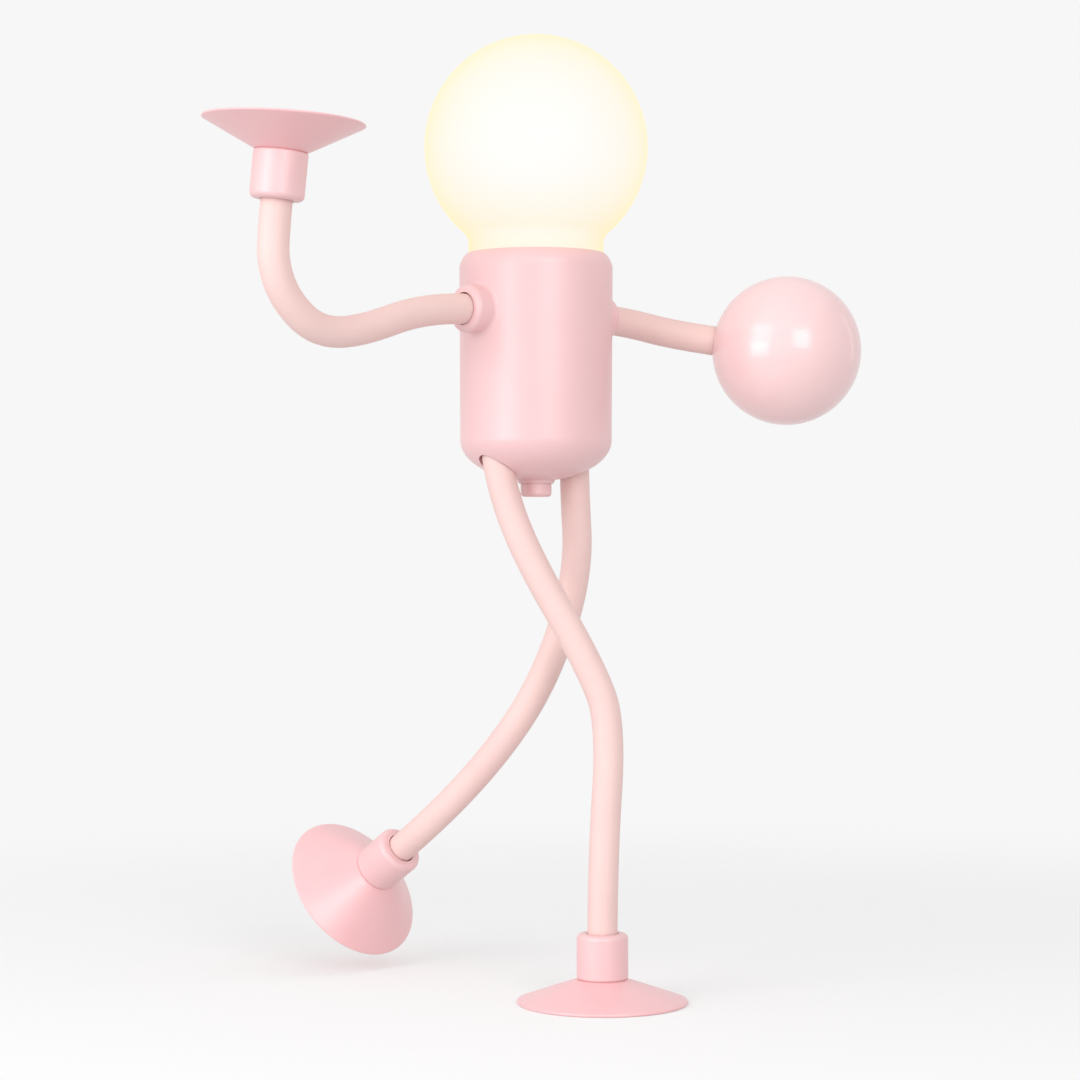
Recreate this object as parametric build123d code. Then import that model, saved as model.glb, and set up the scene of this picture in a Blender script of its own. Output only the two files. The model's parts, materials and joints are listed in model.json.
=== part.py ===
from build123d import *
import os
from math import cos, radians, sin, tan

# Bendable figure night light: a frosted globe on a round body, with four wire-cored
# silicone limbs that end in suction cups and a ball. It stands on one pressed cup.
# Millimetres, +Z up. The figure faces -Y and its shoulder line runs along X.
# The origin is the centre of the standing foot's sole.

# Clearances
FIT_GAP = 0.15
LIMB_GAP = 0.3
HIP_GAP = 0.7
WIRE_GAP = 0.1
HOLE_GAP = 0.25
SLIDE_GAP = 0.25
PART_GAP = 0.1
CUT = 2.0

# Place of the body axis beside and behind the standing foot, and the body's seam height
BODY_SIDE = -6.8
BODY_BACK = 18.8
SEAM_Z = 149.6

# Body shell
BODY_R = 20.35
BODY_FLARE = 0.25
BODY_WALL = 2.05
BODY_H = 50.0
RIM_ROUND_H = 4.2
RIM_LIP = 0.35
LEDGE_W = 1.6
LEDGE_H = 2.0

# Shoulder sockets of the body shell
SHOULDER_DROP = 16.0
SOCKET_R = 6.35
SOCKET_REACH = 5.2
SOCKET_ROUND = 1.5
SOCKET_BLEND = 1.2
SOCKET_DEPTH = 6.2
SOCKET_WEB = 2.6

# Frosted globe and its neck
GLOBE_R = 30.0
GLOBE_WALL = 1.6
NECK_SHOW = 4.81
NECK_BLEND_R = 4.0
NECK_PLUG = 7.0

# Base cap with the leg sockets
CAP_DEPTH = 11.0
CAP_WALL = 2.0
SPIGOT_H = 4.0
SPIGOT_WALL = 1.6
HIP_INSET = 6.35
HIP_COVER = 2.0
TOWER_R = 6.0
TOWER_H = 4.8
POST_R = 1.2
BOSS_R = 2.2

# Push button under the body
BUTTON_R = 4.15
BUTTON_REACH = 4.2
BUTTON_ROUND = 1.0
BUTTON_TRAVEL = 0.8
FLANGE_W = 1.3
FLANGE_T = 1.2
PLUNGER_R = 1.5
GUIDE_LIP = 0.3
GUIDE_W = 1.0
GUIDE_H = 0.6
SEAT_H = 0.9

# Control board, switch and charging socket
BOARD_W = 11.0
BOARD_EDGE = 0.4
BOARD_REAR_GAP = 5.35
BOARD_T = 1.4
BOARD_DROP = 0.2
SWITCH_W = 6.0
SWITCH_T = 2.5
SWITCH_TIP_R = 1.7
SWITCH_TIP_H = 0.4
USB_W = 8.94
USB_H = 3.2
USB_L = 7.3
USB_WALL = 0.3
USB_FLOOR = 1.2
USB_RECESS = 0.7
TONGUE_W = 6.7
TONGUE_T = 0.7
TONGUE_L = 5.0

# Cell and the inner frame that carries it
CELL_R = 7.0
CELL_L = 41.5
CELL_TIP_R = 2.6
CELL_TIP_H = 0.6
PLATE_GAP = 2.1
PLATE_T = 2.0
TUBE_WALL = 1.4
HEAD_SPARE = 1.15
HEAD_T = 1.6
HEAD_GAP = 2.1

# Lamp board
LED_BOARD_EDGE = 0.4
LED_BOARD_T = 1.4
CHIP_W = 3.5
CHIP_D = 2.8
CHIP_H = 0.9
CHIP_RING_R = 8.6
CHIP_COUNT = 6

# Screws
SCREW_R = 0.95
SCREW_L = 5.0
SCREW_HEAD_R = 1.8
SCREW_HEAD_H = 1.2
SCREW_SLOT_W = 0.5
SCREW_SLOT_D = 0.5
LED_SCREW_INSET = 2.6
FRAME_SCREW_INSET = 2.5
FRAME_SCREW_ANGLE = 40.0

# Leads inside the body
LEAD_R = 0.55
LED_LEAD_SIDE = 2.2
LEAD_STAND = 1.6
LEAD_BEND_R = 1.6
CELL_LEAD_SIDE = 2.4

# Limbs: silicone sleeve on a soft metal core wire
LIMB_R = 4.0
WIRE_R = 1.2
GRIP_SHORT = 0.4
ANCHOR_R = 3.0
ANCHOR_L = 6.0
FERRULE_R = 2.4
FERRULE_L = 4.4
WIRE_SHORT = 0.4

# Collars and suction cups on the limbs' ends
COLLAR_R = 6.85
COLLAR_H = 12.0
COLLAR_ROUND = 1.4
COLLAR_FOOT_ROUND = 0.5
COLLAR_SEAT = 2.9
COLLAR_WEB = 2.0
STEM_R = 4.2
CUP_NECK_R = 6.4
HAND_CUP_R = 20.4
HAND_CUP_H = 7.8
FOOT_CUP_R = 21.3
FOOT_CUP_H = 11.8
CUP_EDGE = 1.0
CROWN_R = 7.0
CROWN_T = 3.4
PRESSED_R = 22.7
PRESSED_H = 6.5
PRESSED_EDGE = 0.9
SOLE_RECESS_R = 11.0
SOLE_RECESS = 0.6

# Hand ball
BALL_R = 20.4

# Reach of each limb from its socket to the mouth of what it carries
CUP_ARM_REACH = 62.0
CUP_ARM_FORWARD = 0.55
CUP_ARM_RISE = 23.2
BALL_ARM_REACH = 23.2
BALL_ARM_FORWARD = 18.7
BALL_ARM_DROP = 5.9
RAISED_SIDE = 15.6
RAISED_BACK = 55.4
RAISED_DROP = 103.3

# Corner points of each limb between its socket and its far mouth,
# as shares of the three reaches above
CUP_ARM_SHARES = [(0.185, 0, 0), (0.573, 0, -0.36), (0.785, 0, -0.365), (0.935, 0, -0.045),
                  (0.995, 0, 0.33), (0.99, 0, 0.69), (0.983, 1.0, 1.0)]
BALL_ARM_SHARES = [(0.21, 0, 0), (0.73, 0.615, 0.77), (1.0, 1.0, 1.0)]
STANDING_SHARES = [(0, 0, -0.024), (0.236, 0.24, 0.148), (0.894, 0.894, 0.413),
                   (1.0875, 1.0835, 0.54), (1.0, 1.0, 0.847), (1.0, 1.0, 1.0)]
RAISED_SHARES = [(0, 0, 0.006), (-0.122, 0.002, 0.239), (0.174, 0.133, 0.50),
                 (0.523, 0.358, 0.70), (0.903, 0.763, 0.914), (1.0, 1.0, 1.0)]

# Where each sleeve passes from a bending stretch to a stiff one, along its length
CUP_ARM_CUT_SHARES = [0, 0.25, 0.50, 0.68, 0.78, 1]
LEG_CUT_SHARES = [0, 0.19, 0.44, 0.58, 0.80, 1]
BEND_SHARE = 0.45

# Heights and radii that follow from the sizes above
RIM_Z = SEAM_Z + BODY_H
SHOULDER_Z = RIM_Z - SHOULDER_DROP
CAP_Z = SEAM_Z - CAP_DEPTH
TOWER_Z = SEAM_Z + TOWER_H
HIP_Z = SEAM_Z - HIP_COVER
BODY_INNER_R = BODY_R - BODY_WALL
NECK_R = BODY_INNER_R - FIT_GAP
SPIGOT_R = BODY_INNER_R - FIT_GAP
HIP_SPREAD = BODY_R - HIP_INSET
PLATE_R = BODY_INNER_R - PLATE_GAP
HEAD_R = NECK_R - GLOBE_WALL - HEAD_SPARE
LED_BOARD_R = HEAD_R - LED_BOARD_EDGE
LED_SCREW_SPREAD = LED_BOARD_R - LED_SCREW_INSET
FRAME_SCREW_R = PLATE_R - FRAME_SCREW_INSET
BOARD_REAR = BODY_R - BOARD_REAR_GAP
NECK_Z = RIM_Z - NECK_PLUG
GLOBE_Z = RIM_Z + NECK_SHOW + (GLOBE_R ** 2 - NECK_R ** 2) ** 0.5
SOCKET_FACE = BODY_R + BODY_FLARE / 2 + SOCKET_REACH
SOCKET_FLOOR = SOCKET_FACE - SOCKET_DEPTH
SOCKET_BACK = SOCKET_FLOOR - SOCKET_WEB
LIMB_BORE_R = LIMB_R + LIMB_GAP
WIRE_HOLE_R = WIRE_R + HOLE_GAP
BOARD_Z = SEAM_Z - BOARD_DROP
BOARD_TOP = BOARD_Z + BOARD_T
USB_Z = BOARD_TOP + USB_H / 2
PLATE_TOP = TOWER_Z + PLATE_T
TUBE_R = CELL_R + HOLE_GAP + TUBE_WALL
CELL_Z = PLATE_TOP + PART_GAP
HEAD_Z = CELL_Z + CELL_L + HEAD_GAP
LED_Z = HEAD_Z + HEAD_T
SEAT_Z = CAP_Z + CAP_WALL + SEAT_H
BUTTON_HOLE_R = BUTTON_R + SLIDE_GAP
SEAT_R = BUTTON_HOLE_R + FLANGE_W
HIP_HOLE_R = LIMB_R + HIP_GAP
LEAD_HOLE_R = LEAD_R + HOLE_GAP
SCREW_HOLE_R = SCREW_R + HOLE_GAP
BOARD_POSTS = [(x, y) for x in (POST_R - BOARD_W / 2, BOARD_W / 2 - POST_R)
               for y in (SEAT_R + POST_R + PART_GAP, -SEAT_R - POST_R - PART_GAP)]
FRAME_SCREW_SIDE = FRAME_SCREW_R * sin(radians(FRAME_SCREW_ANGLE))
FRAME_SCREW_BACK = FRAME_SCREW_R * cos(radians(FRAME_SCREW_ANGLE))
FRAME_SCREWS = [(x, y) for x in (-FRAME_SCREW_SIDE, FRAME_SCREW_SIDE)
                for y in (-FRAME_SCREW_BACK, FRAME_SCREW_BACK)]
LEAD_RING = TUBE_R + LEAD_STAND
BOARD_FRONT = LEAD_RING + LEAD_R + BOARD_EDGE
LED_LEADS = [(x, -LEAD_RING) for x in (-LED_LEAD_SIDE, LED_LEAD_SIDE)]
TIP_Z = COLLAR_H - COLLAR_SEAT
COLLAR_BORE = TIP_Z - COLLAR_WEB
SLEEVE_GRIP = COLLAR_BORE - GRIP_SHORT


def rod(radius, start, end):
    """A round bar from one point to another."""
    run = Vector(*end) - Vector(*start)
    bar = Cylinder(radius, run.length, align=(Align.CENTER, Align.CENTER, Align.MIN))
    return Plane(origin=start, z_dir=run) * bar


def disc(radius, low, high):
    """A round bar on the Z axis between two heights."""
    return rod(radius, (0, 0, low), (0, 0, high))


def block(width, depth, low, high):
    """A rectangular block on the Z axis between two heights."""
    return Pos(0, 0, low) * Box(width, depth, high - low, align=(Align.CENTER, Align.CENTER, Align.MIN))


def spun(outline):
    """A solid turned about Z from a half outline drawn as radius and height."""
    return revolve(Plane.XZ * make_face(outline), Axis.Z)


def on_body(shape):
    """Moves a piece from the body's own axis to its place over the standing foot."""
    return Pos(BODY_SIDE, BODY_BACK, 0) * shape


# The torso, modelled about the body's own axis

def body_shell():
    top_r = BODY_R + BODY_FLARE
    lip_r = BODY_INNER_R + RIM_LIP
    round_z = RIM_Z - RIM_ROUND_H
    ledge_r = BODY_INNER_R - LEDGE_W
    wall = Polyline((BODY_INNER_R, SEAM_Z), (BODY_R, SEAM_Z), (top_r, round_z))
    lip = TangentArc((top_r, round_z), (lip_r, RIM_Z), tangent=(BODY_FLARE, round_z - SEAM_Z))
    inside = Polyline((lip_r, RIM_Z), (BODY_INNER_R, RIM_Z), (BODY_INNER_R, NECK_Z), (ledge_r, NECK_Z),
                      (ledge_r, NECK_Z - LEDGE_H), (BODY_INNER_R, NECK_Z - LEDGE_H - LEDGE_W),
                      (BODY_INNER_R, SEAM_Z))
    shell = spun(wall + lip + inside)
    for side in (-1, 1):
        face = (side * SOCKET_FACE, 0, SHOULDER_Z)
        floor = (side * SOCKET_FLOOR, 0, SHOULDER_Z)
        back = (side * SOCKET_BACK, 0, SHOULDER_Z)
        socket = rod(SOCKET_R, back, face)
        rim = socket.edges().filter_by(GeomType.CIRCLE).sort_by(Axis.X)[-1 if side > 0 else 0]
        socket = fillet(rim, SOCKET_ROUND)
        joined = shell + socket
        roots = [edge for edge in new_edges(shell, socket, combined=joined) if outside_wall(edge)]
        shell = fillet(roots, SOCKET_BLEND)
        shell -= rod(LIMB_BORE_R, floor, (side * (SOCKET_FACE + CUT), 0, SHOULDER_Z))
        shell -= rod(WIRE_HOLE_R, (side * (SOCKET_BACK - CUT), 0, SHOULDER_Z), floor)
    return shell - usb_window()


def outside_wall(edge):
    """Whether an edge lies on the outer side of the body's wall."""
    return max(abs(edge.bounding_box().min.X), abs(edge.bounding_box().max.X)) > BODY_R - BODY_WALL / 2


def usb_window():
    """The opening at the back for the charging socket."""
    slot = SlotOverall(USB_W + 2 * HOLE_GAP, USB_H + 2 * HOLE_GAP)
    return extrude(Plane(origin=(0, 0, USB_Z), x_dir=(-1, 0, 0), z_dir=(0, 1, 0)) * slot, BODY_R + CUT)


def bulb(radius, neck_r, blend, foot):
    """A solid globe with a neck, blended where they meet."""
    ball = Pos(0, GLOBE_Z) * Circle(radius)
    neck = Pos(0, foot) * Rectangle(2 * neck_r, GLOBE_Z - foot, align=(Align.CENTER, Align.MIN))
    outline = ball + neck
    outline = fillet(outline.vertices().group_by(Axis.Y)[1], blend)
    half = outline & Pos(0, foot) * Rectangle(radius, GLOBE_Z + radius - foot, align=Align.MIN)
    return revolve(Plane.XZ * half, Axis.Z)


def globe_diffuser():
    outer = bulb(GLOBE_R, NECK_R, NECK_BLEND_R, NECK_Z)
    inner = bulb(GLOBE_R - GLOBE_WALL, NECK_R - GLOBE_WALL, NECK_BLEND_R + GLOBE_WALL, NECK_Z - CUT)
    return outer - inner


def dome(shrink):
    """The rounded underside of the body as a solid, drawn in by a wall."""
    wide = BODY_R - shrink
    tall = CAP_DEPTH - shrink
    oval = Pos(0, SEAM_Z) * Ellipse(wide, tall)
    half = oval & Pos(0, SEAM_Z) * Rectangle(wide, tall, align=(Align.MIN, Align.MAX))
    return revolve(Plane.XZ * half, Axis.Z)


def base_cap():
    room = dome(0) + disc(SPIGOT_R, SEAM_Z - CAP_WALL, TOWER_Z)
    inside = disc(SEAT_R, CAP_Z, SEAT_Z)
    for x in (-HIP_SPREAD, HIP_SPREAD):
        inside += rod(TOWER_R, (x, 0, CAP_Z), (x, 0, TOWER_Z))
    for x, y in BOARD_POSTS:
        inside += rod(POST_R, (x, y, CAP_Z), (x, y, BOARD_Z))
    for x, y in FRAME_SCREWS:
        inside += rod(BOSS_R, (x, y, CAP_Z), (x, y, TOWER_Z))
    spigot = disc(SPIGOT_R, SEAM_Z - CAP_WALL, SEAM_Z + SPIGOT_H)
    spigot -= disc(SPIGOT_R - SPIGOT_WALL, SEAM_Z - CAP_WALL - CUT, SEAM_Z + SPIGOT_H + CUT)
    cap = dome(0) - dome(CAP_WALL) + (inside & room) + spigot
    guide = Cone(BUTTON_HOLE_R + GUIDE_LIP, BUTTON_HOLE_R + GUIDE_W, GUIDE_H + CAP_WALL / 2,
                 align=(Align.CENTER, Align.CENTER, Align.MIN))
    cap += Pos(0, 0, CAP_Z - GUIDE_H) * guide
    cap -= disc(BUTTON_HOLE_R, CAP_Z - GUIDE_H - CUT, SEAT_Z + CUT)
    cap -= disc(SEAT_R, SEAT_Z, TOWER_Z + CUT)
    cap -= board_block(HOLE_GAP, BOARD_Z, TOWER_Z + CUT)
    for x in (-HIP_SPREAD, HIP_SPREAD):
        cap -= rod(HIP_HOLE_R, (x, 0, CAP_Z - CUT), (x, 0, HIP_Z))
        cap -= rod(WIRE_HOLE_R, (x, 0, HIP_Z), (x, 0, TOWER_Z + CUT))
    for x, y in FRAME_SCREWS:
        cap -= rod(SCREW_R, (x, y, PLATE_TOP - SCREW_L - PART_GAP), (x, y, TOWER_Z + CUT))
    notch = block(USB_W + 2 * HOLE_GAP, BODY_R, USB_Z - USB_H / 2 - HOLE_GAP, TOWER_Z + CUT)
    return cap - Pos(0, BODY_R, 0) * notch


def push_button():
    stem = disc(BUTTON_R, CAP_Z - BUTTON_REACH, SEAT_Z + PART_GAP + FLANGE_T)
    stem = fillet(stem.edges().filter_by(GeomType.CIRCLE).sort_by(Axis.Z)[0], BUTTON_ROUND)
    flange = disc(BUTTON_R + FLANGE_W, SEAT_Z + PART_GAP, SEAT_Z + PART_GAP + FLANGE_T)
    tip_z = BOARD_Z - SWITCH_T - SWITCH_TIP_H - BUTTON_TRAVEL - PART_GAP
    return stem + flange + disc(PLUNGER_R, SEAT_Z, tip_z)


def board_block(gap, low, high):
    """The control board's outline, grown by a gap, between two heights."""
    length = BOARD_FRONT + BOARD_REAR
    return Pos(0, (BOARD_REAR - BOARD_FRONT) / 2, 0) * block(BOARD_W + 2 * gap, length + 2 * gap, low, high)


def control_board():
    return board_block(0, BOARD_Z, BOARD_TOP)


def tact_switch():
    case = block(SWITCH_W, SWITCH_W, BOARD_Z - SWITCH_T, BOARD_Z)
    return case + disc(SWITCH_TIP_R, BOARD_Z - SWITCH_T - SWITCH_TIP_H, BOARD_Z)


def usb_socket():
    mouth = Plane(origin=(0, BODY_R - USB_RECESS, USB_Z), x_dir=(1, 0, 0), z_dir=(0, -1, 0))
    case = extrude(mouth * SlotOverall(USB_W, USB_H), USB_L)
    hollow = extrude(mouth * SlotOverall(USB_W - 2 * USB_WALL, USB_H - 2 * USB_WALL), USB_L - USB_FLOOR)
    tip = mouth.offset(USB_L - USB_FLOOR - TONGUE_L)
    tongue = extrude(tip * Rectangle(TONGUE_W, TONGUE_T), TONGUE_L + USB_FLOOR)
    return case - hollow + tongue


def inner_frame():
    frame = disc(PLATE_R, TOWER_Z, PLATE_TOP)
    frame += disc(TUBE_R, TOWER_Z, LED_Z)
    frame += disc(HEAD_R, HEAD_Z, LED_Z)
    for x in (-LED_SCREW_SPREAD, LED_SCREW_SPREAD):
        frame += rod(BOSS_R, (x, 0, LED_Z - SCREW_L), (x, 0, LED_Z))
        frame -= rod(SCREW_R, (x, 0, LED_Z + LED_BOARD_T - SCREW_L - PART_GAP), (x, 0, LED_Z + CUT))
    frame -= disc(TUBE_R - TUBE_WALL, PLATE_TOP, LED_Z + CUT)
    anchor_r = ANCHOR_R + HOLE_GAP
    for side in (-1, 1):
        leg = side * HIP_SPREAD
        frame -= rod(anchor_r, (leg, 0, TOWER_Z - CUT), (leg, 0, TOWER_Z + ANCHOR_L + HOLE_GAP))
        inner = side * (SOCKET_BACK - ANCHOR_L - HOLE_GAP)
        frame -= rod(anchor_r, (inner, 0, SHOULDER_Z), (side * SOCKET_BACK, 0, SHOULDER_Z))
    for x, y in FRAME_SCREWS:
        frame -= rod(SCREW_HOLE_R, (x, y, TOWER_Z - CUT), (x, y, PLATE_TOP + CUT))
        frame -= rod(SCREW_HEAD_R + HOLE_GAP, (x, y, PLATE_TOP), (x, y, PLATE_TOP + SCREW_HEAD_H + HOLE_GAP))
    for x, y in LED_LEADS:
        frame -= rod(LEAD_HOLE_R, (x, y, TOWER_Z - CUT), (x, y, LED_Z + CUT))
    for x, y in ((CELL_LEAD_SIDE, 0), (0, -LEAD_RING)):
        frame -= rod(LEAD_HOLE_R, (x, y, TOWER_Z - CUT), (x, y, PLATE_TOP + CUT))
    gate = block(2 * LEAD_HOLE_R, LEAD_RING, CELL_Z + CELL_L - LEAD_BEND_R, HEAD_Z)
    return frame - Pos(0, -LEAD_RING / 2, 0) * gate


def battery_cell():
    return disc(CELL_R, CELL_Z, CELL_Z + CELL_L - CELL_TIP_H) + disc(CELL_TIP_R, CELL_Z, CELL_Z + CELL_L)


def led_board():
    board = disc(LED_BOARD_R, LED_Z, LED_Z + LED_BOARD_T)
    for x in (-LED_SCREW_SPREAD, LED_SCREW_SPREAD):
        board -= rod(SCREW_HOLE_R, (x, 0, LED_Z - CUT), (x, 0, LED_Z + LED_BOARD_T + CUT))
    return board


def led_chips():
    top = LED_Z + LED_BOARD_T
    ring = PolarLocations(CHIP_RING_R, CHIP_COUNT, start_angle=180 / CHIP_COUNT)
    chip = block(CHIP_W, CHIP_D, top, top + CHIP_H)
    return Compound([chip] + [spot * chip for spot in ring])


def screw(x, y, seat):
    """A slotted pan-head screw, head up, with the head's underside at the seat."""
    shank = rod(SCREW_R - PART_GAP / 2, (x, y, seat - SCREW_L), (x, y, seat))
    head = rod(SCREW_HEAD_R, (x, y, seat), (x, y, seat + SCREW_HEAD_H))
    top = seat + SCREW_HEAD_H
    slot = Pos(x, y, 0) * block(2 * SCREW_HEAD_R, SCREW_SLOT_W, top - SCREW_SLOT_D, top + CUT)
    return shank + head - slot


def led_screws():
    seat = LED_Z + LED_BOARD_T
    return Compound([screw(x, 0, seat) for x in (-LED_SCREW_SPREAD, LED_SCREW_SPREAD)])


def frame_screws():
    return Compound([screw(x, y, PLATE_TOP) for x, y in FRAME_SCREWS])


def led_leads():
    return Compound([rod(LEAD_R, (x, y, BOARD_TOP), (x, y, LED_Z)) for x, y in LED_LEADS])


def battery_leads():
    lower = rod(LEAD_R, (CELL_LEAD_SIDE, 0, BOARD_TOP), (CELL_LEAD_SIDE, 0, CELL_Z))
    top = CELL_Z + CELL_L + LEAD_R
    corners = [(0, -LEAD_RING, BOARD_TOP), (0, -LEAD_RING, top), (0, 0, top)]
    route = FilletPolyline(*corners, radius=LEAD_BEND_R)
    upper = sweep(Plane(origin=route @ 0, z_dir=route % 0) * Circle(LEAD_R), route)
    return Compound([lower, upper])


# The limbs, modelled in place

class Limb:
    """A sleeve's corner points from its socket to inside what it carries, and its bends."""

    def __init__(self, root, start, reach, shares):
        corners = []
        for row in shares:
            corners.append(start + Vector(*(share * span for share, span in zip(row, reach))))
        self.mouth = corners[-1]
        self.axis = (corners[-1] - corners[-2]).normalized()
        self.out = (corners[0] - root).normalized()
        self.root = root
        self.points = [root] + corners[:-1] + [self.mouth + self.axis * SLEEVE_GRIP]
        self.radii = []
        for before, at, after in zip(self.points, self.points[1:], self.points[2:]):
            half_turn = radians((at - before).get_angle(after - at)) / 2
            shorter = min((at - before).length, (after - at).length)
            self.radii.append(BEND_SHARE * shorter / tan(half_turn))
        self.path = FilletPolyline(*self.points, radius=self.radii)

    def sleeve(self, low, high):
        """The sleeve between two shares of its length."""
        path = self.path.trim(low, high)
        ring = Circle(LIMB_R) - Circle(WIRE_R + WIRE_GAP)
        return sweep(Plane(origin=path @ 0, z_dir=path % 0) * ring, path)

    def wire(self, root_tail):
        """The core wire, from its anchor in the body to its ferrule at the far end."""
        first = self.root - self.out * root_tail
        last = self.mouth + self.axis * (TIP_Z + FERRULE_L - WIRE_SHORT)
        path = FilletPolyline(first, *self.points[1:-1], last, radius=self.radii)
        return sweep(Plane(origin=first, z_dir=self.out) * Circle(WIRE_R), path)

    def place(self, piece):
        """Sets a piece that is modelled on Z, from its mouth outwards, on the limb's end."""
        return Plane(origin=self.mouth, z_dir=self.axis) * piece


def barrel(radius, length):
    """A crimp barrel standing on zero."""
    return disc(radius, 0, length) - disc(WIRE_R + WIRE_GAP / 2, -CUT, length + CUT)


def limb_anchors():
    barrels = []
    for side in (-1, 1):
        arm = Plane(origin=(side * SOCKET_BACK, 0, SHOULDER_Z), z_dir=(-side, 0, 0))
        barrels.append(arm * barrel(ANCHOR_R, ANCHOR_L))
        barrels.append(Pos(side * HIP_SPREAD, 0, TOWER_Z) * barrel(ANCHOR_R, ANCHOR_L))
    return Compound(barrels)


def ferrule():
    return Pos(0, 0, TIP_Z) * barrel(FERRULE_R, FERRULE_L)


def collar():
    tube = disc(COLLAR_R, 0, COLLAR_H)
    rims = tube.edges().filter_by(GeomType.CIRCLE).sort_by(Axis.Z)
    tube = fillet(rims[0], COLLAR_ROUND)
    tube = fillet(tube.edges().filter_by(GeomType.CIRCLE).sort_by(Axis.Z)[-1], COLLAR_FOOT_ROUND)
    tube -= disc(LIMB_BORE_R, -CUT, COLLAR_BORE)
    tube -= disc(WIRE_HOLE_R, 0, TIP_Z + CUT)
    return tube - disc(STEM_R + FIT_GAP, TIP_Z, COLLAR_H + CUT)


def stemmed(cup):
    """Adds the plug that holds a cup in its collar, hollow for the wire's ferrule."""
    plug = disc(STEM_R, TIP_Z + PART_GAP, COLLAR_H + CROWN_T / 2)
    return cup + plug - disc(FERRULE_R + FIT_GAP, TIP_Z - CUT, TIP_Z + FERRULE_L + PART_GAP)


def relaxed_cup(radius, height):
    rim_z = COLLAR_H + height
    crown_z = COLLAR_H + CROWN_T
    outside = [(0, COLLAR_H), (CUP_NECK_R, COLLAR_H), (radius, rim_z)]
    inside = [(radius - CUP_EDGE, rim_z), (CROWN_R, crown_z), (0, crown_z)]
    return stemmed(spun(Polyline(*outside, *inside, close=True)))


def pressed_cup():
    sole_z = COLLAR_H + PRESSED_H
    roof_z = sole_z - SOLE_RECESS
    outside = [(0, COLLAR_H), (CUP_NECK_R, COLLAR_H), (PRESSED_R, sole_z - PRESSED_EDGE)]
    sole = [(PRESSED_R, sole_z), (SOLE_RECESS_R, sole_z), (SOLE_RECESS_R, roof_z), (0, roof_z)]
    return stemmed(spun(Polyline(*outside, *sole, close=True)))


def hand_ball():
    ball = Pos(0, 0, BALL_R) * Sphere(BALL_R)
    ball -= disc(LIMB_BORE_R, -CUT, COLLAR_BORE)
    ball -= disc(WIRE_HOLE_R, 0, TIP_Z + CUT)
    return ball - disc(FERRULE_R + FIT_GAP, TIP_Z, TIP_Z + FERRULE_L + PART_GAP)


AXIS_FOOT = Vector(BODY_SIDE, BODY_BACK, 0)
ANKLE_Z = COLLAR_H + PRESSED_H
CUP_ARM = Limb(AXIS_FOOT + Vector(-SOCKET_FLOOR - LIMB_GAP, 0, SHOULDER_Z),
               AXIS_FOOT + Vector(-SOCKET_FACE, 0, SHOULDER_Z),
               (-CUP_ARM_REACH, -CUP_ARM_FORWARD, CUP_ARM_RISE), CUP_ARM_SHARES)
BALL_ARM = Limb(AXIS_FOOT + Vector(SOCKET_FLOOR + LIMB_GAP, 0, SHOULDER_Z),
                AXIS_FOOT + Vector(SOCKET_FACE, 0, SHOULDER_Z),
                (BALL_ARM_REACH, -BALL_ARM_FORWARD, -BALL_ARM_DROP), BALL_ARM_SHARES)
STANDING_LEG = Limb(AXIS_FOOT + Vector(-HIP_SPREAD, 0, HIP_Z - LIMB_GAP),
                    AXIS_FOOT + Vector(-HIP_SPREAD, 0, CAP_Z),
                    (HIP_SPREAD - BODY_SIDE, -BODY_BACK, ANKLE_Z - CAP_Z), STANDING_SHARES)
RAISED_LEG = Limb(AXIS_FOOT + Vector(HIP_SPREAD, 0, HIP_Z - LIMB_GAP),
                  AXIS_FOOT + Vector(HIP_SPREAD, 0, CAP_Z),
                  (-RAISED_SIDE, RAISED_BACK, -RAISED_DROP), RAISED_SHARES)
ARM_TAIL = LIMB_GAP + SOCKET_WEB + ANCHOR_L - WIRE_SHORT
LEG_TAIL = LIMB_GAP + TOWER_Z - HIP_Z + ANCHOR_L - WIRE_SHORT
STRETCHES = ["root_sleeve", "upper_sleeve", "middle_sleeve", "lower_sleeve", "end_sleeve"]


def cupped_limb(name, limb, tail, cuts, end, cup):
    """The pieces of a limb with a collar and a suction cup."""
    pieces = {f"{name}_core_wire": limb.wire(tail)}
    for stretch, low, high in zip(STRETCHES, cuts, cuts[1:]):
        pieces[f"{name}_{stretch}"] = limb.sleeve(low, high)
    pieces[f"{end}_ferrule"] = limb.place(ferrule())
    pieces[f"{end}_collar"] = limb.place(collar())
    pieces[f"{end}_suction_cup"] = limb.place(cup)
    return pieces


pieces = {make.__name__: on_body(make()) for make in (
    globe_diffuser, body_shell, base_cap, push_button, control_board, tact_switch, usb_socket, inner_frame,
    battery_cell, led_board, led_chips, led_screws, frame_screws, led_leads, battery_leads, limb_anchors)}
pieces |= cupped_limb("cup_arm", CUP_ARM, ARM_TAIL, CUP_ARM_CUT_SHARES, "cup_hand",
                      relaxed_cup(HAND_CUP_R, HAND_CUP_H))
pieces |= cupped_limb("standing_leg", STANDING_LEG, LEG_TAIL, LEG_CUT_SHARES, "standing_foot", pressed_cup())
pieces |= cupped_limb("raised_leg", RAISED_LEG, LEG_TAIL, LEG_CUT_SHARES, "raised_foot",
                      relaxed_cup(FOOT_CUP_R, FOOT_CUP_H))
pieces["ball_arm_core_wire"] = BALL_ARM.wire(ARM_TAIL)
pieces["ball_arm_sleeve"] = BALL_ARM.sleeve(0, 1)
pieces["ball_hand_ferrule"] = BALL_ARM.place(ferrule())
pieces["hand_ball"] = BALL_ARM.place(hand_ball())

os.makedirs("parts", exist_ok=True)
for name, piece in pieces.items():
    export_step(piece, f"parts/{name}.step")
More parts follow.
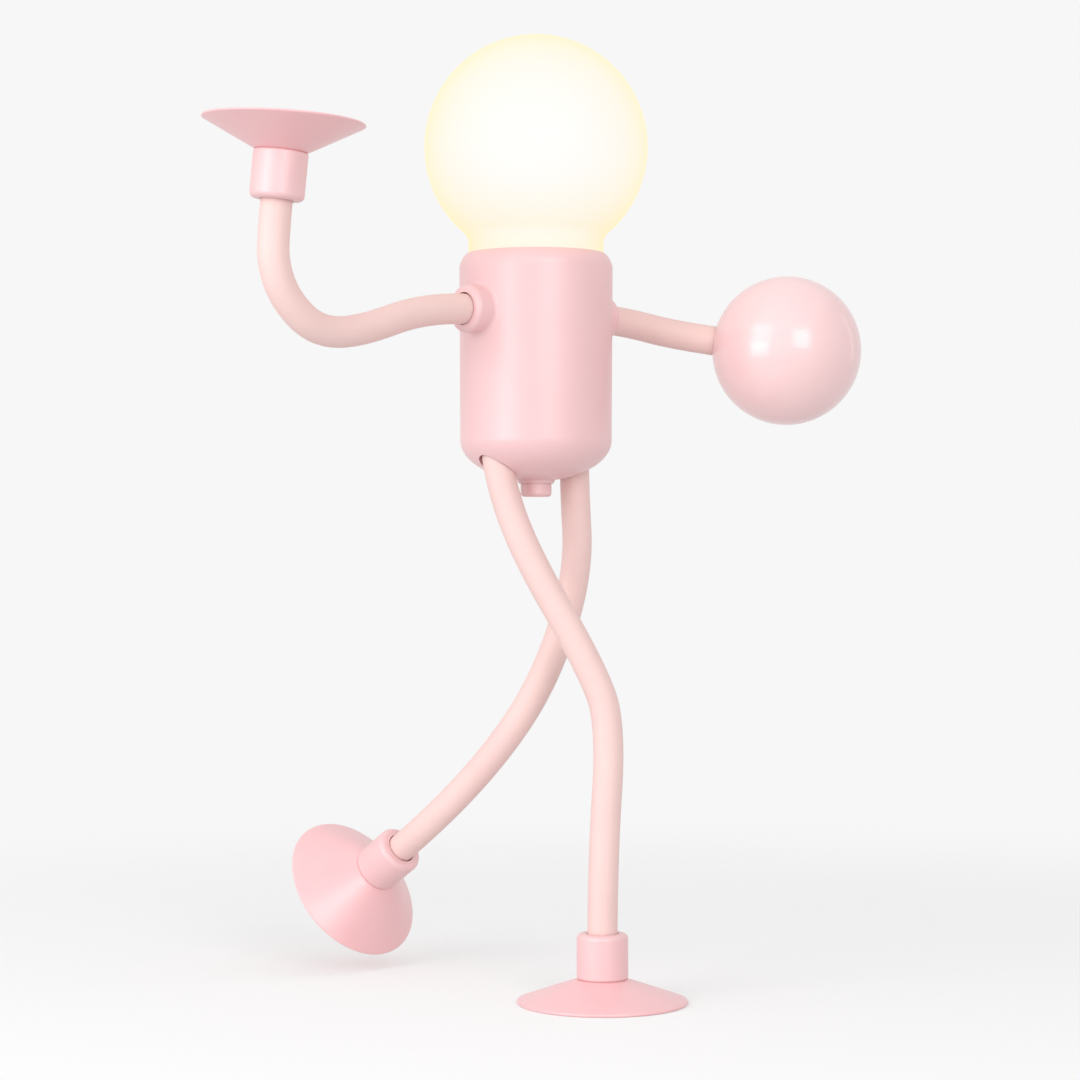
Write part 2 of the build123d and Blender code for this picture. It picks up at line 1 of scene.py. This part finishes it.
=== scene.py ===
"""Looks of the bendable figure night light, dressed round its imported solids. Metres, +Z up."""
import json
import math

import bpy
from mathutils import Matrix, Vector


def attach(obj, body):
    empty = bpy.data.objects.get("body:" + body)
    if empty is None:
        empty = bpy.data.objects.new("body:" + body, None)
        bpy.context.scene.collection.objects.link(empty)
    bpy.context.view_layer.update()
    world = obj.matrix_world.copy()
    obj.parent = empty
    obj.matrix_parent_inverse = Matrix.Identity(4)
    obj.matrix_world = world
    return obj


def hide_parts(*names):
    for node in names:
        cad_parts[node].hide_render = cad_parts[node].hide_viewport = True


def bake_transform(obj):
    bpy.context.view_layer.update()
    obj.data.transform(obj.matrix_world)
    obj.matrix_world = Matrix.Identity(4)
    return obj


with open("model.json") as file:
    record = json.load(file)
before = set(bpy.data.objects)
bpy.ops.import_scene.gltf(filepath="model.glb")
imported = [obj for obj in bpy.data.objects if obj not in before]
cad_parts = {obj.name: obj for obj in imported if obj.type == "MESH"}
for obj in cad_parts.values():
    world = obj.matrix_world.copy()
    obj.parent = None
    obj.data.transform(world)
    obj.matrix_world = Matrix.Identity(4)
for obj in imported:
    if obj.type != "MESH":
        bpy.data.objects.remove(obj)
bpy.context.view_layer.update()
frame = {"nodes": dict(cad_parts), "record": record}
NODES = frame["nodes"]
MOUNTS = {mount["name"]: mount for mount in frame["record"]["mounts"]}
MM = 0.001

# Camera of the photograph: level, at the figure's front left
CAMERA_AT = (-0.4851, -0.5140, 0.1228)
CAMERA_TURN = math.radians(-42)
CAMERA_PITCH = math.radians(90)
CAMERA_LENS = 88.77
SENSOR = 36
PICTURE_RIGHT = Vector((math.cos(CAMERA_TURN), math.sin(CAMERA_TURN), 0))
PICTURE_DEPTH = Vector((-math.sin(CAMERA_TURN), math.cos(CAMERA_TURN), 0))

# Mesh fineness
SHARP_ANGLE = math.radians(50)
ROUTE_ORDER = 3
ROUTE_FINENESS = 48
SHORTEST_RUN = 1e-12
SLEEVE_SIDES = 40
SLEEVE_STEP = 0.7 * MM
FEWEST_RINGS = 8
CUP_SIDES = 128
CUP_STEPS = 24
LIP_STEPS = 10
FLOOR_SIDES = 96

# Limb sleeves
LIMB_R = 4.0 * MM
SLEEVE_GRIP = 6.7 * MM

# Sockets and mouths that the sleeves run between
BODY_AXIS = Vector((-6.8, 18.8, 0)) * MM
SHOULDER_Z = 183.6 * MM
SOCKET_FACE = 25.675 * MM
SOCKET_FLOOR = 19.475 * MM
HIP_SPREAD = 14.0 * MM
HIP_TOP = 147.6 * MM
CAP_Z = 138.6 * MM
ROOT_GAP = 0.3 * MM
ANKLE_Z = 18.5 * MM

# Reach of each limb from its socket to its far mouth, and its corner points as shares of the reach
CUP_ARM_REACH = Vector((-62.0, -0.55, 23.2)) * MM
BALL_ARM_REACH = Vector((23.2, -18.7, -5.9)) * MM
STANDING_REACH = Vector((HIP_SPREAD - BODY_AXIS.x, -BODY_AXIS.y, ANKLE_Z - CAP_Z))
RAISED_REACH = Vector((-15.6, 55.4, -103.3)) * MM
CUP_ARM_SHARES = [(0.185, 0, 0), (0.573, 0, -0.36), (0.785, 0, -0.365), (0.935, 0, -0.045),
                  (0.995, 0, 0.33), (0.99, 0, 0.69), (0.983, 1.0, 1.0)]
BALL_ARM_SHARES = [(0.21, 0, 0), (0.73, 0.615, 0.77), (1.0, 1.0, 1.0)]
STANDING_SHARES = [(0, 0, -0.024), (0.236, 0.24, 0.148), (0.894, 0.894, 0.413),
                   (1.0875, 1.0835, 0.54), (1.0, 1.0, 0.847), (1.0, 1.0, 1.0)]
RAISED_SHARES = [(0, 0, 0.006), (-0.122, 0.002, 0.239), (0.174, 0.133, 0.50),
                 (0.523, 0.358, 0.70), (0.903, 0.763, 0.914), (1.0, 1.0, 1.0)]

# Where each sleeve passes from a bending stretch to a stiff one, along its length
CUP_ARM_CUT_SHARES = [0, 0.25, 0.50, 0.68, 0.78, 1]
LEG_CUT_SHARES = [0, 0.19, 0.44, 0.58, 0.80, 1]
BALL_ARM_BEND = (0.12, 0.82)

# Suction cups, measured along their axis from the collar's end
CUP_NECK_R = 6.4 * MM
CUP_STEM_R = 4.2 * MM
CUP_STEM_L = 2.6 * MM
CUP_RIM_T = 0.6 * MM
CUP_CROWN_T = 3.4 * MM
CUP_HOLLOW_CURVE = 1.35
HAND_CUP_R = 20.34 * MM
HAND_CUP_H = 7.8 * MM
HAND_CUP_LEAN = 0.8 * MM
FOOT_CUP_R = 21.3 * MM
FOOT_CUP_H = 11.8 * MM
PRESSED_R = 22.7 * MM
PRESSED_H = 6.5 * MM
PRESSED_RIM_T = 0.9 * MM
SOLE_RECESS_R = 11.0 * MM
SOLE_RECESS = 0.6 * MM

# Surface fields: noise scales per metre, and the middle of the noise, which is spread over a range
CLOUD_SCALE = 55
CLOUD_DETAIL = 3
GRAIN_DETAIL = 2
NOISE_LOW = 0.3
NOISE_HIGH = 0.7
GRAIN_BUMP = 0.35

# Globe: a dark frosted skin with its light, warm at the neck, under a coat that yellows it at the edge
GLOBE_SKIN = (0.07, 0.066, 0.06, 1)
GLOBE_ROUGH = (0.38, 0.48)
GLOBE_GRAIN = 5200
GLOBE_GRAIN_DEPTH = 0.02 * MM
GLOBE_BUMP = 0.2
GLOBE_SHINE = 0.15
NECK_GLOW = (0.773, 0.80, 0.84)
NECK_GLOW_Z = 198.0 * MM
FULL_GLOW = (0.773, 0.831, 1.0)
FULL_GLOW_Z = 222.0 * MM
GLOW_STRENGTH = 1.19
COAT_ROUGH = 0.35
COAT_IOR = 1.06
COAT_TINT = (1.0, 0.925, 0.765, 1)

# Stage
BACKGROUND = 0.93
FILL = 0.60
FLOOR_R = 0.52
FLOOR_CLEAR_SHARE = 0.2
FLOOR_TONE = 0.75
FLOOR_LIFT = 0.215

# Lamps: name, direction in the picture (right, up, towards the camera), distance, width, height, power
LAMPS = [
    ("key", -0.66, 0.34, 0.66, 1.0, 0.64, 0.64, 2.8),
    ("key_low", -0.70, -0.03, 0.71, 1.0, 0.5, 0.3, 1.4),
    ("left_panel", -0.92, 0.25, 0.30, 1.1, 1.1, 0.8, 1.5),
    ("front_panel", 0.1, 0.25, 0.96, 1.2, 1.4, 1.2, 2.3),
    ("small_front", 0.364, 0.259, 0.894, 1.0, 0.44, 0.44, 2.0),
    ("right_strip", 0.892, 0.193, -0.408, 1.0, 0.06, 0.6, 0.17),
    ("overhead", 0.0, 1.0, 0.05, 0.9, 1.8, 1.8, 2.0),
]


# Meshes

def new_piece(name, verts, faces, material):
    """A smooth-shaded mesh object with sharp creases only at real edges."""
    mesh = bpy.data.meshes.new(name)
    mesh.from_pydata(verts, [], faces)
    mesh.validate()
    mesh.shade_smooth()
    mesh.set_sharp_from_angle(angle=SHARP_ANGLE)
    mesh.materials.append(material)
    piece = bpy.data.objects.new(name, mesh)
    bpy.context.scene.collection.objects.link(piece)
    return piece


def route_points(corners):
    """Points along the smooth line whose control points are the corners."""
    curve = bpy.data.curves.new("route", "CURVE")
    curve.dimensions = "3D"
    spline = curve.splines.new("NURBS")
    spline.points.add(len(corners) - 1)
    for point, corner in zip(spline.points, corners):
        point.co = (*corner, 1)
    spline.order_u = ROUTE_ORDER
    spline.use_endpoint_u = True
    curve.resolution_u = ROUTE_FINENESS
    holder = bpy.data.objects.new("route", curve)
    mesh = bpy.data.meshes.new_from_object(holder)
    points = [vertex.co.copy() for vertex in mesh.vertices]
    bpy.data.meshes.remove(mesh)
    bpy.data.objects.remove(holder)
    bpy.data.curves.remove(curve)
    return points


class Route:
    """A smooth line that can be asked for the point at a share of its length."""

    def __init__(self, corners):
        self.points = route_points(corners)
        self.runs = [0]
        for a, b in zip(self.points, self.points[1:]):
            self.runs.append(self.runs[-1] + (b - a).length)
        self.length = self.runs[-1]

    def at(self, share):
        want = min(max(share, 0), 1) * self.length
        for i in range(1, len(self.runs)):
            if self.runs[i] >= want:
                run = max(self.runs[i] - self.runs[i - 1], SHORTEST_RUN)
                return self.points[i - 1].lerp(self.points[i], (want - self.runs[i - 1]) / run)
        return self.points[-1]

    def heading(self, share):
        near = SLEEVE_STEP / 2 / self.length
        return (self.at(share + near) - self.at(share - near)).normalized()


def sleeve_piece(name, route, low, high, material):
    """A closed round tube along a stretch of a route."""
    count = max(FEWEST_RINGS, round((high - low) * route.length / SLEEVE_STEP))
    verts, faces = [], []
    side = route.heading(low).orthogonal().normalized()
    for i in range(count + 1):
        share = low + (high - low) * i / count
        along = route.heading(share)
        side = (side - along * side.dot(along)).normalized()
        across = along.cross(side)
        centre = route.at(share)
        for k in range(SLEEVE_SIDES):
            turn = 2 * math.pi * k / SLEEVE_SIDES
            verts.append(centre + LIMB_R * (math.cos(turn) * side + math.sin(turn) * across))
    for i in range(count):
        for k in range(SLEEVE_SIDES):
            a = i * SLEEVE_SIDES + k
            b = i * SLEEVE_SIDES + (k + 1) % SLEEVE_SIDES
            faces.append((a, b, b + SLEEVE_SIDES, a + SLEEVE_SIDES))
    last = count * SLEEVE_SIDES
    faces.append(tuple(reversed(range(SLEEVE_SIDES))))
    faces.append(tuple(range(last, last + SLEEVE_SIDES)))
    return new_piece(name, verts, faces, material)


def arc(centre, radius, start, end, steps):
    """Points of a round in an outline of radius and height, from one angle to another in degrees."""
    points = []
    for i in range(steps + 1):
        turn = math.radians(start + (end - start) * i / steps)
        points.append((centre[0] + radius * math.cos(turn), centre[1] + radius * math.sin(turn)))
    return points


def turned_cup(name, outline, seat, material, lean):
    """A closed cup turned from an outline that starts and ends on the axis, set on a seat.
    With a lean its brim is higher on the right of the picture and lower on the left."""
    verts = [seat @ Vector((0, 0, outline[0][1]))]
    rings = outline[1:-1]
    widest = max(radius for radius, height in rings)
    right = seat.to_3x3().inverted() @ PICTURE_RIGHT
    for radius, height in rings:
        brim = max(0, (radius - CUP_NECK_R) / (widest - CUP_NECK_R))
        for k in range(CUP_SIDES):
            turn = 2 * math.pi * k / CUP_SIDES
            side = Vector((math.cos(turn), math.sin(turn), 0))
            rise = Vector((0, 0, height + lean * brim * side.dot(right)))
            verts.append(seat @ (side * radius + rise))
    verts.append(seat @ Vector((0, 0, outline[-1][1])))
    faces = []
    for k in range(CUP_SIDES):
        after = (k + 1) % CUP_SIDES
        faces.append((0, 1 + after, 1 + k))
        for i in range(len(rings) - 1):
            a = 1 + i * CUP_SIDES
            faces.append((a + k, a + after, a + CUP_SIDES + after, a + CUP_SIDES + k))
        top = 1 + (len(rings) - 1) * CUP_SIDES
        faces.append((top + k, top + after, len(verts) - 1))
    return new_piece(name, verts, faces, material)


def seat_on(mount, back):
    """A frame on a mount's axis, set back from its face, with Z outwards."""
    axis = Vector(mount["axis"]).normalized()
    spot = Vector(mount["pos_m"]) - axis * back
    return Matrix.Translation(spot) @ axis.to_track_quat("Z", "Y").to_matrix().to_4x4()


# Materials

def node_material(name):
    material = bpy.data.materials.new(name)
    material.use_nodes = True
    nodes = material.node_tree.nodes
    return material, nodes, material.node_tree.links, nodes["Principled BSDF"]


def noise(nodes, links, scale, detail, coords):
    field = nodes.new("ShaderNodeTexNoise")
    field.inputs["Scale"].default_value = scale
    field.inputs["Detail"].default_value = detail
    links.new(coords, field.inputs["Vector"])
    return field.outputs["Fac"]


def ranged(nodes, links, value, low, high):
    span = nodes.new("ShaderNodeMapRange")
    span.inputs["From Min"].default_value = NOISE_LOW
    span.inputs["From Max"].default_value = NOISE_HIGH
    span.inputs["To Min"].default_value = low
    span.inputs["To Max"].default_value = high
    links.new(value, span.inputs["Value"])
    return span.outputs["Result"]


def tinted(nodes, links, value, dark, light):
    mix = nodes.new("ShaderNodeMix")
    mix.data_type = "RGBA"
    mix.inputs["A"].default_value = (*dark, 1)
    mix.inputs["B"].default_value = (*light, 1)
    links.new(value, mix.inputs["Factor"])
    return mix.outputs["Result"]


def bumped(nodes, links, height, strength, depth, shader):
    bump = nodes.new("ShaderNodeBump")
    bump.inputs["Strength"].default_value = strength
    bump.inputs["Distance"].default_value = depth
    links.new(height, bump.inputs["Height"])
    links.new(bump.outputs["Normal"], shader.inputs["Normal"])


def moulded(name, dark, light, rough, grain, depth, metal=0.0, shine=0.5):
    """A moulded or drawn surface: clouded colour, uneven gloss and a fine grain."""
    material, nodes, links, shader = node_material(name)
    coords = nodes.new("ShaderNodeTexCoord").outputs["Object"]
    broad = ranged(nodes, links, noise(nodes, links, CLOUD_SCALE, CLOUD_DETAIL, coords), 0, 1)
    links.new(tinted(nodes, links, broad, dark, light), shader.inputs["Base Color"])
    fine = noise(nodes, links, grain, GRAIN_DETAIL, coords)
    links.new(ranged(nodes, links, fine, *rough), shader.inputs["Roughness"])
    bumped(nodes, links, fine, GRAIN_BUMP, depth, shader)
    shader.inputs["Metallic"].default_value = metal
    shader.inputs["Specular IOR Level"].default_value = shine
    return material


def srgb(red, green, blue):
    """A colour written as 0 to 255 screen values, made linear."""
    return tuple(
        c / 12.92 if c <= 0.04045 else ((c + 0.055) / 1.055) ** 2.4
        for c in (red / 255, green / 255, blue / 255))


def glowing_globe():
    """Frosted plastic lit from inside: the light yellows where it leaves through more of the wall."""
    material, nodes, links, shader = node_material("frosted_globe")
    coords = nodes.new("ShaderNodeTexCoord").outputs["Object"]
    fine = noise(nodes, links, GLOBE_GRAIN, GRAIN_DETAIL, coords)
    shader.inputs["Base Color"].default_value = GLOBE_SKIN
    links.new(ranged(nodes, links, fine, *GLOBE_ROUGH), shader.inputs["Roughness"])
    height = nodes.new("ShaderNodeSeparateXYZ")
    links.new(coords, height.inputs["Vector"])
    climb = nodes.new("ShaderNodeMapRange")
    climb.interpolation_type = "SMOOTHSTEP"
    climb.inputs["From Min"].default_value = NECK_GLOW_Z
    climb.inputs["From Max"].default_value = FULL_GLOW_Z
    links.new(height.outputs["Z"], climb.inputs["Value"])
    glow = tinted(nodes, links, climb.outputs["Result"], NECK_GLOW, FULL_GLOW)
    links.new(glow, shader.inputs["Emission Color"])
    shader.inputs["Emission Strength"].default_value = GLOW_STRENGTH
    shader.inputs["Specular IOR Level"].default_value = GLOBE_SHINE
    shader.inputs["Coat Weight"].default_value = 1.0
    shader.inputs["Coat Roughness"].default_value = COAT_ROUGH
    shader.inputs["Coat IOR"].default_value = COAT_IOR
    shader.inputs["Coat Tint"].default_value = COAT_TINT
    bumped(nodes, links, fine, GLOBE_BUMP, GLOBE_GRAIN_DEPTH, shader)
    return material


SHELL_LOOK = {"dark": srgb(236, 191, 193), "light": srgb(239, 195, 197), "rough": (0.37, 0.43),
              "grain": 2600, "depth": 0.02 * MM, "shine": 1.0}
METAL_LOOK = {"grain": 1500, "depth": 0.01 * MM, "metal": 1.0}
BOARD_LOOK = {"grain": 900, "depth": 0.02 * MM}
PLASTIC_LOOK = {"grain": 1800, "depth": 0.02 * MM}

PINK_SHELL = moulded("pink_shell", **SHELL_LOOK)
PINK_CAP = moulded("pink_cap", **SHELL_LOOK)
PINK_BALL = moulded("pink_ball", srgb(243, 204, 205), srgb(245, 208, 209),
                    rough=(0.19, 0.22), grain=500, depth=0.003 * MM, shine=0.75)
PINK_CUP = moulded("pink_cup", srgb(241, 187, 190), srgb(244, 192, 195),
                   rough=(0.30, 0.37), grain=2200, depth=0.02 * MM, shine=1.0)
SILICONE = moulded("pink_silicone", srgb(236, 202, 198), srgb(240, 207, 202),
                   rough=(0.50, 0.60), grain=3000, depth=0.03 * MM)
GLOBE = glowing_globe()
BRASS = moulded("crimp_brass", (0.55, 0.38, 0.14), (0.66, 0.48, 0.2), rough=(0.25, 0.4), **METAL_LOOK)
STEEL = moulded("zinc_steel", (0.5, 0.5, 0.52), (0.62, 0.62, 0.64), rough=(0.28, 0.4), **METAL_LOOK)
WIRE = moulded("drawn_wire", (0.6, 0.6, 0.62), (0.72, 0.72, 0.74), rough=(0.3, 0.42), **METAL_LOOK)
GREEN_BOARD = moulded("green_board", (0.01, 0.09, 0.035), (0.015, 0.13, 0.05),
                      rough=(0.3, 0.42), **BOARD_LOOK)
WHITE_BOARD = moulded("white_board", (0.78, 0.78, 0.75), (0.86, 0.86, 0.83),
                      rough=(0.35, 0.45), **BOARD_LOOK)
BLACK_CASE = moulded("black_case", (0.012, 0.012, 0.013), (0.02, 0.02, 0.022),
                     rough=(0.4, 0.55), **PLASTIC_LOOK)
WHITE_FRAME = moulded("white_frame", (0.74, 0.74, 0.71), (0.82, 0.82, 0.79),
                      rough=(0.45, 0.55), **PLASTIC_LOOK)
CELL_SLEEVE = moulded("cell_sleeve", (0.05, 0.14, 0.3), (0.07, 0.18, 0.36),
                      rough=(0.25, 0.35), grain=1200, depth=0.01 * MM)
PHOSPHOR = moulded("phosphor", (0.85, 0.66, 0.16), (0.92, 0.75, 0.24), rough=(0.3, 0.4), **PLASTIC_LOOK)
RED_LEAD = moulded("red_lead", (0.42, 0.02, 0.015), (0.5, 0.03, 0.02),
                   rough=(0.4, 0.5), grain=1800, depth=0.01 * MM)

NODE_MATERIALS = {
    "globe_diffuser": GLOBE,
    "body_shell": PINK_SHELL,
    "base_cap": PINK_CAP,
    "push_button": PINK_CAP,
    "hand_ball": PINK_BALL,
    "control_board": GREEN_BOARD,
    "tact_switch": BLACK_CASE,
    "usb_socket": STEEL,
    "inner_frame": WHITE_FRAME,
    "battery_cell": CELL_SLEEVE,
    "led_board": WHITE_BOARD,
    "led_chips": PHOSPHOR,
    "led_screws": STEEL,
    "frame_screws": STEEL,
    "led_leads": RED_LEAD,
    "battery_leads": RED_LEAD,
    "limb_anchors": BRASS,
}
ENDING_MATERIALS = {
    "collar": PINK_SHELL,
    "ferrule": BRASS,
    "core_wire": WIRE,
    "sleeve": SILICONE,
    "suction_cup": PINK_CUP,
}

for node_name, node in NODES.items():
    chosen = NODE_MATERIALS.get(node_name)
    for ending, material in ENDING_MATERIALS.items():
        if chosen is None and node_name.endswith(ending):
            chosen = material
    node.data.materials.clear()
    node.data.materials.append(chosen)


# Limbs

def limb_route(root, start, reach, shares):
    """The route of a limb from inside its socket to inside what it carries."""
    corners = [start + Vector((a * reach.x, b * reach.y, c * reach.z)) for a, b, c in shares]
    axis = (corners[-1] - corners[-2]).normalized()
    return Route([root, *corners[:-1], corners[-1] + axis * SLEEVE_GRIP])


def arm_route(side, reach, shares):
    """The route of the arm on one side of the body, -1 or 1 along X."""
    return limb_route(BODY_AXIS + Vector((side * (SOCKET_FLOOR + ROOT_GAP), 0, SHOULDER_Z)),
                      BODY_AXIS + Vector((side * SOCKET_FACE, 0, SHOULDER_Z)), reach, shares)


def leg_route(side, reach, shares):
    """The route of the leg on one side of the body, -1 or 1 along X."""
    return limb_route(BODY_AXIS + Vector((side * HIP_SPREAD, 0, HIP_TOP - ROOT_GAP)),
                      BODY_AXIS + Vector((side * HIP_SPREAD, 0, CAP_Z)), reach, shares)


def dress_limb(name, route, cuts):
    """Three sleeve pieces of a long limb, each running across one of its bending stretches."""
    ends = [0, (cuts[1] + cuts[2]) / 2, (cuts[3] + cuts[4]) / 2, 1]
    bends = [(cuts[0], cuts[1]), (cuts[2], cuts[3]),
             (cuts[4], cuts[5] - SLEEVE_GRIP / route.length)]
    hidden = [("core_wire", "root_sleeve", "upper_sleeve"), ("middle_sleeve", "lower_sleeve"),
              ("end_sleeve",)]
    for i, part in enumerate(("root", "middle", "end")):
        piece = sleeve_piece(f"{name}_{part}_skin", route, ends[i], ends[i + 1], SILICONE)
        route.at(bends[i][0])
        route.at(bends[i][1])
        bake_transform(piece)
        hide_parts(*(f"{name}_{node}" for node in hidden[i]))


cup_arm = arm_route(-1, CUP_ARM_REACH, CUP_ARM_SHARES)
ball_arm = arm_route(1, BALL_ARM_REACH, BALL_ARM_SHARES)
standing_leg = leg_route(-1, STANDING_REACH, STANDING_SHARES)
raised_leg = leg_route(1, RAISED_REACH, RAISED_SHARES)

dress_limb("cup_arm", cup_arm, CUP_ARM_CUT_SHARES)
dress_limb("standing_leg", standing_leg, LEG_CUT_SHARES)
dress_limb("raised_leg", raised_leg, LEG_CUT_SHARES)

ball_skin = sleeve_piece("ball_arm_skin", ball_arm, 0, 1, SILICONE)
ball_arm.at(BALL_ARM_BEND[0])
ball_arm.at(BALL_ARM_BEND[1])
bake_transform(ball_skin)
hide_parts("ball_arm_sleeve", "ball_arm_core_wire")


# Suction cups

def cup_outside(lip):
    """The outline of a cup's stem and cone, from the axis out to the end of its lip."""
    outline = [(0, -CUP_STEM_L), (CUP_STEM_R, -CUP_STEM_L), (CUP_STEM_R, 0), (CUP_NECK_R, 0)]
    radius, height = lip[0]
    for i in range(1, CUP_STEPS):
        share = i / CUP_STEPS
        outline.append((CUP_NECK_R + (radius - CUP_NECK_R) * share, height * share))
    return outline + lip


def dress_cup(name, outline, height, mount, body, node, lean):
    piece = turned_cup(name, outline, seat_on(mount, height), PINK_CUP, lean)
    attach(piece, body)
    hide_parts(node)


def open_cup(name, radius, height, mount, body, node, lean=0):
    """A relaxed cup: a thin cone with a rounded lip and a smooth hollow."""
    lip_r = CUP_RIM_T / 2
    slope = math.degrees(math.atan2(height, radius - CUP_NECK_R))
    lip = arc((radius - lip_r, height - lip_r), lip_r, slope - 90, slope + 90, LIP_STEPS)
    outline = cup_outside(lip)
    for i in range(1, CUP_STEPS + 1):
        left = 1 - i / CUP_STEPS
        depth = (lip[-1][1] - CUP_CROWN_T) * left ** CUP_HOLLOW_CURVE
        outline.append((lip[-1][0] * left, CUP_CROWN_T + depth))
    dress_cup(name, outline, height, mount, body, node, lean)


def pressed_cup(name, mount, body, node):
    """The cup that the figure stands on, pressed flat."""
    lip_r = PRESSED_RIM_T / 2
    slope = math.degrees(math.atan2(PRESSED_H - PRESSED_RIM_T, PRESSED_R - CUP_NECK_R))
    lip = arc((PRESSED_R - lip_r, PRESSED_H - lip_r), lip_r, slope - 90, 90, LIP_STEPS)
    sole = [(SOLE_RECESS_R, PRESSED_H), (SOLE_RECESS_R - SOLE_RECESS, PRESSED_H - SOLE_RECESS),
            (0, PRESSED_H - SOLE_RECESS)]
    dress_cup(name, cup_outside(lip) + sole, PRESSED_H, mount, body, node, 0)


open_cup("cup_hand_skin", HAND_CUP_R, HAND_CUP_H, MOUNTS["hand_cup_rim"], "cup_hand",
         "cup_hand_suction_cup", HAND_CUP_LEAN)
open_cup("raised_foot_skin", FOOT_CUP_R, FOOT_CUP_H, MOUNTS["raised_cup_rim"], "raised_foot",
         "raised_foot_suction_cup")
pressed_cup("standing_foot_skin", MOUNTS["standing_sole"], "standing_foot", "standing_foot_suction_cup")


# Studio

def grey(tone):
    return (tone, tone, tone, 1)


def seen_directly(nodes, links):
    """One for rays from the camera, mirrors and glass, zero for the rest."""
    path = nodes.new("ShaderNodeLightPath")
    total = path.outputs["Is Camera Ray"]
    for ray in ("Is Glossy Ray", "Is Transmission Ray"):
        add = nodes.new("ShaderNodeMath")
        add.use_clamp = True
        links.new(total, add.inputs[0])
        links.new(path.outputs[ray], add.inputs[1])
        total = add.outputs["Value"]
    return total


def studio_world():
    """A pale backdrop, and a dimmer even light on what stands in front of it."""
    world = bpy.data.worlds.new("studio")
    world.use_nodes = True
    nodes, links = world.node_tree.nodes, world.node_tree.links
    nodes.clear()
    shown = nodes.new("ShaderNodeBackground")
    shown.inputs["Color"].default_value = grey(BACKGROUND)
    light = nodes.new("ShaderNodeBackground")
    light.inputs["Color"].default_value = grey(FILL)
    mix = nodes.new("ShaderNodeMixShader")
    links.new(seen_directly(nodes, links), mix.inputs["Fac"])
    links.new(light.outputs["Background"], mix.inputs[1])
    links.new(shown.outputs["Background"], mix.inputs[2])
    out = nodes.new("ShaderNodeOutputWorld")
    links.new(mix.outputs["Shader"], out.inputs["Surface"])
    bpy.context.scene.world = world


def floor_material():
    """A pale floor that keeps the shadow near the figure and fades into the backdrop."""
    material = bpy.data.materials.new("floor")
    material.use_nodes = True
    nodes, links = material.node_tree.nodes, material.node_tree.links
    nodes.clear()
    coords = nodes.new("ShaderNodeTexCoord").outputs["Object"]
    away = nodes.new("ShaderNodeVectorMath")
    away.operation = "LENGTH"
    links.new(coords, away.inputs[0])
    fade = nodes.new("ShaderNodeMapRange")
    fade.interpolation_type = "SMOOTHERSTEP"
    fade.inputs["From Min"].default_value = FLOOR_R * FLOOR_CLEAR_SHARE
    fade.inputs["From Max"].default_value = FLOOR_R
    links.new(away.outputs["Value"], fade.inputs["Value"])
    diffuse = nodes.new("ShaderNodeBsdfDiffuse")
    diffuse.inputs["Color"].default_value = grey(FLOOR_TONE)
    lift = nodes.new("ShaderNodeEmission")
    lift.inputs["Color"].default_value = grey(1)
    strength = nodes.new("ShaderNodeMath")
    strength.operation = "MULTIPLY"
    strength.inputs[1].default_value = FLOOR_LIFT
    links.new(seen_directly(nodes, links), strength.inputs[0])
    links.new(strength.outputs["Value"], lift.inputs["Strength"])
    both = nodes.new("ShaderNodeAddShader")
    links.new(diffuse.outputs["BSDF"], both.inputs[0])
    links.new(lift.outputs["Emission"], both.inputs[1])
    clear = nodes.new("ShaderNodeBsdfTransparent")
    mix = nodes.new("ShaderNodeMixShader")
    links.new(fade.outputs["Result"], mix.inputs["Fac"])
    links.new(both.outputs["Shader"], mix.inputs[1])
    links.new(clear.outputs["BSDF"], mix.inputs[2])
    out = nodes.new("ShaderNodeOutputMaterial")
    links.new(mix.outputs["Shader"], out.inputs["Surface"])
    return material


def floor_disc():
    verts = [(0, 0, 0)]
    faces = []
    for k in range(FLOOR_SIDES):
        turn = 2 * math.pi * k / FLOOR_SIDES
        verts.append((FLOOR_R * math.cos(turn), FLOOR_R * math.sin(turn), 0))
        faces.append((0, 1 + k, 1 + (k + 1) % FLOOR_SIDES))
    floor = new_piece("floor", verts, faces, floor_material())


def softbox(name, right, up, front, distance, width, height, power):
    """A rectangular lamp placed by its direction in the picture, aimed at the body."""
    direction = (PICTURE_RIGHT * right + Vector((0, 0, up)) - PICTURE_DEPTH * front).normalized()
    lamp = bpy.data.lights.new(name, "AREA")
    lamp.shape = "RECTANGLE"
    lamp.size = width
    lamp.size_y = height
    lamp.energy = power
    holder = bpy.data.objects.new(name, lamp)
    target = BODY_AXIS + Vector((0, 0, SHOULDER_Z))
    holder.location = target + direction * distance
    holder.rotation_euler = direction.to_track_quat("Z", "Y").to_euler()
    bpy.context.scene.collection.objects.link(holder)


def photo_camera():
    data = bpy.data.cameras.new("photo_camera")
    data.sensor_width = SENSOR
    data.lens = CAMERA_LENS
    camera = bpy.data.objects.new("photo_camera", data)
    camera.location = CAMERA_AT
    camera.rotation_euler = (CAMERA_PITCH, 0, CAMERA_TURN)
    bpy.context.scene.collection.objects.link(camera)
    bpy.context.scene.camera = camera


studio_world()
floor_disc()
for lamp in LAMPS:
    softbox(*lamp)
photo_camera()
bpy.context.scene.view_settings.view_transform = "Standard"
